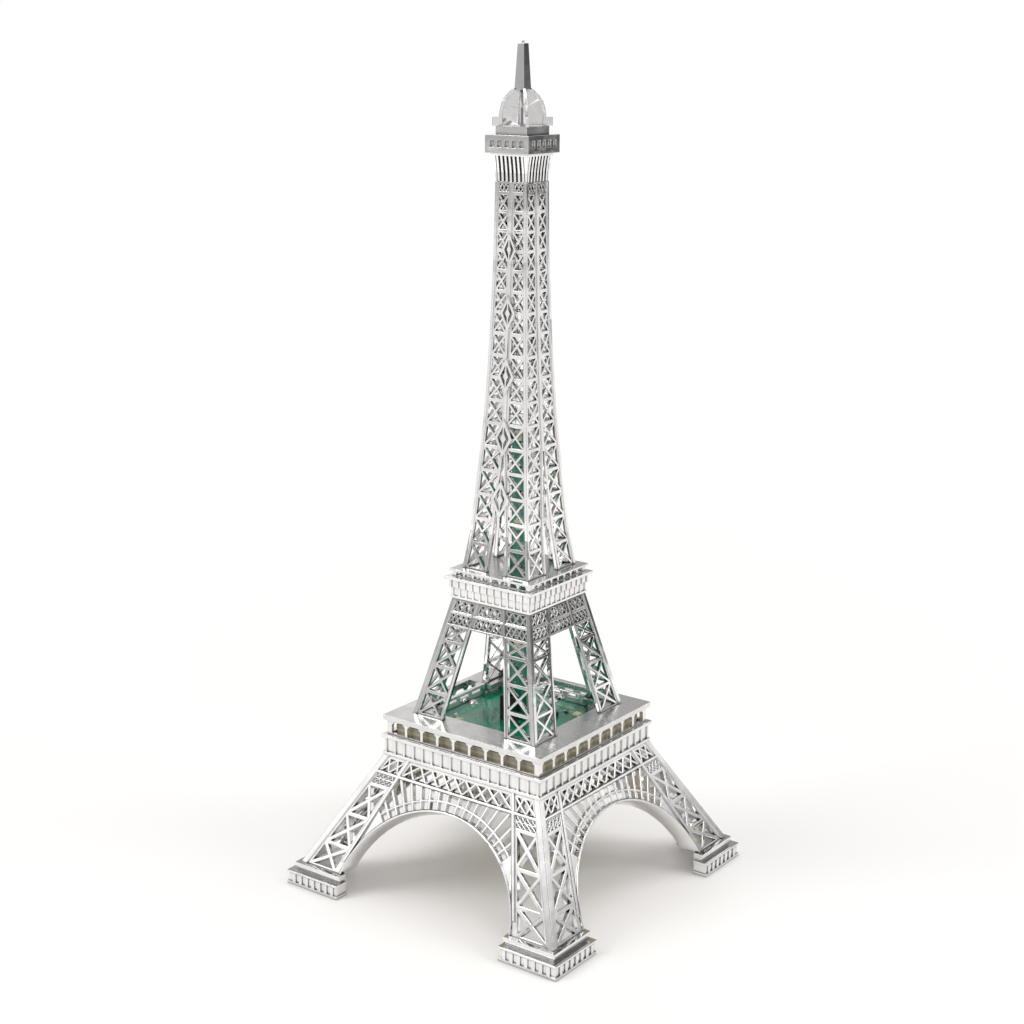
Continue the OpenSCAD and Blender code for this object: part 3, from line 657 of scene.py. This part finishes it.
def lamp_terminals(bm):
    """Folded metal ends, two on each side."""
    for side in (-1, 1):
        for y in (-0.7 * MM, 0.7 * MM):
            xs = sorted((side * (LAMP_L / 2 - 0.5 * MM), side * LAMP_L / 2))
            add_box(bm, (xs[0], y - 0.4 * MM, 0.01 * MM), (xs[1], y + 0.4 * MM, 0.16 * MM))
            xs = sorted((side * (LAMP_L / 2 - 0.38 * MM), side * (LAMP_L / 2 - 0.22 * MM)))
            add_box(bm, (xs[0], y - 0.4 * MM, 0.1 * MM), (xs[1], y + 0.4 * MM, 0.62 * MM))


def lamp_pads(bm):
    """Solder at both ends, sloping down from the terminals."""
    for side in (-1, 1):
        for y in (-0.7 * MM, 0.7 * MM):
            base = [bm.verts.new((side * x, y + w, 0.012 * MM))
                    for x, w in ((1.25 * MM, -0.5 * MM), (2.2 * MM, -0.5 * MM),
                                 (2.2 * MM, 0.5 * MM), (1.25 * MM, 0.5 * MM))]
            crest = [bm.verts.new((side * x, y + w, z * MM))
                     for x, w, z in ((1.3 * MM, -0.38 * MM, 0.3), (1.85 * MM, -0.36 * MM, 0.12),
                                     (1.85 * MM, 0.36 * MM, 0.12), (1.3 * MM, 0.38 * MM, 0.3))]
            bm.faces.new(list(reversed(base)))
            bm.faces.new(crest)
            for k in range(4):
                j = (k + 1) % 4
                bm.faces.new((base[k], base[j], crest[j], crest[k]))


def make_lamps():
    for group, places in zip(("corner", "column"), lamp_places()):
        for part, build, material, slot, bevel in (
                ("housings", lamp_housing, IVORY, "lamp_yellow", 0),
                ("resin", lamp_resin, PHOSPHOR, "lamp_yellow", 0),
                ("terminals", lamp_terminals, SOLDER, "nickel_steel", 0.03 * MM),
                ("solder", lamp_pads, SOLDER, "nickel_steel", 0.05 * MM)):
            bm = bmesh.new()
            for place in places:
                placed(bm, build, place)
            piece = to_object(bm, "%s_lamp_%s" % (group, part), material, bevel=bevel,
                              smooth=part == "resin")
            if part == "housings":
                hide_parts(group + "_lamps")


def screw_head(bm):
    """A domed head with a cross recess, as a height field on rings."""
    sides, rings = 96, 26
    reach, crown = 1.98 * MM, 2.2 * MM
    arm_l, arm_w, deep = 1.15 * MM, 0.3 * MM, 0.75 * MM
    blur = 0.06 * MM

    def soft(value, low, high):
        t = min(1, max(0, (value - low) / (high - low)))
        return t * t * (3 - 2 * t)

    def height(x, y):
        dome = math.sqrt(crown * crown - x * x - y * y) - 0.9 * MM
        x, y = abs(x), abs(y)
        along, across = max(x, y), min(x, y)
        inside = soft(arm_w - across, -blur, blur) * soft(arm_l - along, -blur, blur)
        slope = deep * (1 - 0.6 * along / arm_l)
        return dome - inside * max(0, slope)

    grid = []
    for i in range(1, rings + 1):
        r = reach * i / rings
        grid.append([bm.verts.new((r * math.cos(a), r * math.sin(a),
                                   height(r * math.cos(a), r * math.sin(a))))
                     for a in (2 * math.pi * k / sides for k in range(sides))])
    middle = bm.verts.new((0, 0, height(0, 0)))
    skirt = [bm.verts.new((v.co.x, v.co.y, 0)) for v in grid[-1]]
    for k in range(sides):
        j = (k + 1) % sides
        bm.faces.new((middle, grid[0][k], grid[0][j]))
        for low, high in zip(grid, grid[1:]):
            bm.faces.new((low[k], high[k], high[j], low[j]))
        bm.faces.new((grid[-1][k], skirt[k], skirt[j], grid[-1][j]))
    bm.faces.new(list(reversed(skirt)))


def screw_shank(bm):
    """A threaded shank below the head."""
    profile = [(0, -5.5 * MM), (0.45 * MM, -5.3 * MM)]
    for k in range(10):
        z = -5.0 + k * 0.5
        profile += [(0.66 * MM, z * MM), (0.88 * MM, (z + 0.2) * MM), (0.66 * MM, (z + 0.4) * MM)]
    profile += [(0.7 * MM, -0.02 * MM), (0, -0.02 * MM)]
    add_lathe(bm, profile, 24)


def make_screws():
    bm = bmesh.new()
    for k, (_, _, centre) in enumerate(solid_boxes("board_screws")):
        turn = Matrix.Rotation(0.35 + 0.9 * k, 4, "Z")
        place = Matrix.Translation((centre.x, centre.y, TOP)) @ turn
        placed(bm, screw_head, place)
        placed(bm, screw_shank, place)
    piece = to_object(bm, "board_screw_heads", NICKEL, smooth=True)
    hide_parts("board_screws")


def make_chips():
    """Chip resistors by the lamps and one leaded package."""
    bodies, metal_parts = bmesh.new(), bmesh.new()
    lead = 0.17 * MM
    for box_lo, box_hi, centre in solid_boxes("board_chips"):
        if box_hi.x - box_lo.x > 3 * MM:
            lo = box_lo + Vector((0.4, 0.6, 0.15)) * MM
            hi = box_hi - Vector((0.4, 0.6, 0.05)) * MM
            continue
        cx, cy = centre.x, centre.y
        add_box(bodies, (cx - 0.72 * MM, cy - 0.6 * MM, TOP + 0.03 * MM),
                (cx + 0.72 * MM, cy + 0.6 * MM, TOP + 0.56 * MM))
        for side in (-1, 1):
            xs = sorted((cx + side * 0.68 * MM, cx + side * 1.0 * MM))
            add_box(metal_parts, (xs[0], cy - 0.58 * MM, TOP),
                    (xs[1], cy + 0.58 * MM, TOP + 0.59 * MM))
    add_box(bodies, lo, hi)
    for k in range(4):
        px = lo.x + (0.5 + k * 1.02) * MM
        for y0, y1 in ((lo.y - 0.5 * MM, lo.y + 0.1 * MM), (hi.y - 0.1 * MM, hi.y + 0.5 * MM)):
            add_box(metal_parts, (px - lead, y0, TOP + 0.5 * MM),
                    (px + lead, y1, TOP + 0.66 * MM))
        for y0, y1 in ((lo.y - 0.6 * MM, lo.y - 0.42 * MM), (hi.y + 0.42 * MM, hi.y + 0.6 * MM)):
            add_box(metal_parts, (px - lead, y0, TOP + 0.01 * MM),
                    (px + lead, y1, TOP + 0.62 * MM))
    piece = to_object(bodies, "board_chip_bodies", BLACK, bevel=0.06 * MM)
    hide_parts("board_chips")
    to_object(metal_parts, "board_chip_ends", SOLDER, bevel=0.04 * MM)


def make_tracks():
    """Covered tracks, pads and through holes on the main board."""
    bm = bmesh.new()
    for k in range(4):
        turn = Matrix.Rotation(k * math.pi / 2, 2)
        a, b = LAMP_AT, LAMP_AT + 2.4 * MM
        supply = ((b, a), (b, 4 * MM), (a - 3 * MM, -4 * MM), (a - 3 * MM, -a + 3 * MM))
        signal = ((a - 6.4 * MM, a), (7 * MM, 12 * MM), (3 * MM, 12 * MM))
        border = in_mm((-20, 19.8), (20, 19.8))
        for points, width in ((supply, 0.6 * MM), (signal, 0.45 * MM), (border, 0.9 * MM)):
            add_strip(bm, [turn @ Vector(p) for p in points], width, TOP - 0.01 * MM, TRACK_H)
    arc = [(9 * MM * math.cos(a), -3 * MM + 9 * MM * math.sin(a))
           for a in (math.radians(190 + 8 * k) for k in range(18))]
    add_strip(bm, arc, 0.55 * MM, TOP - 0.01 * MM, TRACK_H)
    to_object(bm, "main_board_tracks", TRACK)
    rings = bmesh.new()
    for _ in range(14):
        x, y = random.uniform(-18, 18) * MM, random.uniform(-13, 13) * MM
        add_lathe(rings, in_mm((0.14, 0), (0.38, 0), (0.42, 0.03), (0.18, 0.05), (0.14, 0)), 20,
                  Matrix.Translation((x, y, TOP)))
    for x, y in ((-3 * MM, -21 * MM), (3 * MM, -21 * MM), (-20.5 * MM, -10.9 * MM)):
        add_lathe(rings, in_mm((0, 0), (1.1, 0), (0.95, 0.12), (0.5, 0.4), (0.3, 0.75), (0, 0.8)),
                  32, Matrix.Translation((x, y, TOP)))
    to_object(rings, "main_board_solder", SOLDER, smooth=True)


def on_column(turn, x, out, z):
    """A place on one face of the upright board, its own +Z pointing off the face."""
    return (Matrix.Rotation(turn, 4, "Z") @ Matrix.Translation((x, -out, z))
            @ Matrix.Rotation(math.pi / 2, 4, "X"))


def make_column_tracks():
    """Two supply tracks and a return on each face of the upright board."""
    bm, vias = bmesh.new(), bmesh.new()
    for turn in (0, math.pi):
        def face(tracks):
            for x, z0, z1, width in ((-2.3, 64, 121, 0.7), (2.3, 64, 121, 0.7),
                                     (-2.2, 126, 168, 0.6), (2.2, 126, 168, 0.6),
                                     (0.2, 70, 86, 0.4), (-0.3, 95, 132, 0.4), (0.3, 141, 165, 0.4)):
                add_box(tracks, (x * MM - width * MM / 2, -0.585 * MM, z0 * MM),
                        (x * MM + width * MM / 2, -0.54 * MM, z1 * MM))
        placed(bm, face, Matrix.Rotation(turn, 4, "Z"))
        for z in (67, 75, 84, 97, 105, 114, 129, 144, 152, 159):
            place = on_column(turn, 1.1 * MM * (-1) ** z, 0.55 * MM, z * MM)
            add_lathe(vias, in_mm((0.12, 0), (0.36, 0), (0.36, 0.04), (0.16, 0.05), (0.12, 0)),
                      18, place)
        for x in (-3, -1, 1, 3):
            place = on_column(turn, x * MM, 0.5 * MM, TOP + 0.75 * MM)
            add_lathe(vias, in_mm((0, 0), (0.7, 0), (0.55, 0.22), (0.25, 0.36), (0, 0.4)),
                      24, place)
    to_object(bm, "column_board_tracks", TRACK)
    to_object(vias, "column_board_solder", SOLDER, smooth=True)


def make_header_pins():
    """Square pins standing in the socket's well."""
    bm = bmesh.new()
    lo, hi = (Vector(c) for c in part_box("board_socket"))
    half = 0.2 * MM
    for k in range(2):
        x = lo.x + (2.15 + k * 1.5) * MM
        y = (lo.y + hi.y) / 2
        add_box(bm, (x - half, y - half, lo.z + 5.9 * MM), (x + half, y + half, hi.z - 0.8 * MM))
    to_object(bm, "socket_pins", NICKEL, bevel=0.06 * MM)


# ---------------------------------------------------------------- battery box

def cell_places():
    """Where each cell lies: its own +Z is its button end, and the middle one is reversed."""
    return [Matrix.Translation(centre) @ Matrix.Rotation(math.pi if i == 1 else 0, 4, "Z")
            @ Matrix.Rotation(math.pi / 2, 4, "Y")
            for i, (_, _, centre) in enumerate(solid_boxes("battery_cells"))]


def cell_profiles():
    """Turned sections of a cell along its axis: jacket, coloured band, steel ends."""
    jacket = in_mm((4.3, -22), (4.9, -22.05), (5.12, -21.85), (5.2, -21.5), (5.2, 12),
                   (4.9, 12), (4.3, -22))
    band = in_mm((4.9, 12), (5.2, 12), (5.2, 20.5), (5.1, 21.1), (4.7, 21.4), (4.3, 21.3),
                 (4.9, 12))
    steel = in_mm((0, -22.15), (3.6, -22.15), (4.4, -21.9), (4.6, -20), (4.6, 20.6), (3.4, 21.1),
                  (2.3, 21), (1.95, 21.2), (1.85, 21.9), (1.6, 22.18), (0, 22.18))
    return (("cell_jackets", jacket, JACKET, "cell_jacket"),
            ("cell_bands", band, BAND, "cell_jacket"),
            ("cell_ends", steel, NICKEL, "nickel_steel"))


def make_cells():
    for name, profile, material, slot in cell_profiles():
        bm = bmesh.new()
        for place in cell_places():
            add_lathe(bm, profile, 64, place)
        piece = to_object(bm, name, material, bevel=0.04 * MM)
        if name == "cell_jackets":
            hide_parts("battery_cells")


def add_tube(bm, points, radius, sides=12):
    """A round wire along points, closed at both ends."""
    rings = []
    for i, p in enumerate(points):
        along = (points[min(i + 1, len(points) - 1)] - points[max(i - 1, 0)]).normalized()
        u = along.cross(Vector((0, 0, 1)) if abs(along.z) < 0.9 else Vector((1, 0, 0))).normalized()
        v = along.cross(u)
        rings.append([bm.verts.new(p + radius * (u * math.cos(a) + v * math.sin(a)))
                      for a in (2 * math.pi * k / sides for k in range(sides))])
    for low, high in zip(rings, rings[1:]):
        for k in range(sides):
            j = (k + 1) % sides
            bm.faces.new((low[k], low[j], high[j], high[k]))
    bm.faces.new(list(reversed(rings[0])))
    bm.faces.new(rings[-1])


def make_springs():
    """Conical contact springs, pressed flat by the cells."""
    bm = bmesh.new()
    turns, steps, wire = 3, 30, 0.3 * MM
    for place in cell_places():
        points = []
        for k in range(turns * steps + 1):
            t = k / (turns * steps)
            r, a = (3.4 - 1.7 * t) * MM, 2 * math.pi * turns * t
            z = (-23.36 + 0.82 * t) * MM
            points.append(place @ Vector((r * math.cos(a), r * math.sin(a), z)))
        add_tube(bm, points, wire)
    piece = to_object(bm, "spring_wires", NICKEL, smooth=True)
    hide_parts("contact_springs")


# ---------------------------------------------------------------- build

make_camera()
make_lights()
make_room()
make_stage()
dress_cad()
make_lamps()
make_screws()
make_chips()
make_tracks()
make_column_tracks()
make_header_pins()
make_cells()
make_springs()

bpy.context.scene.view_settings.view_transform = "Standard"
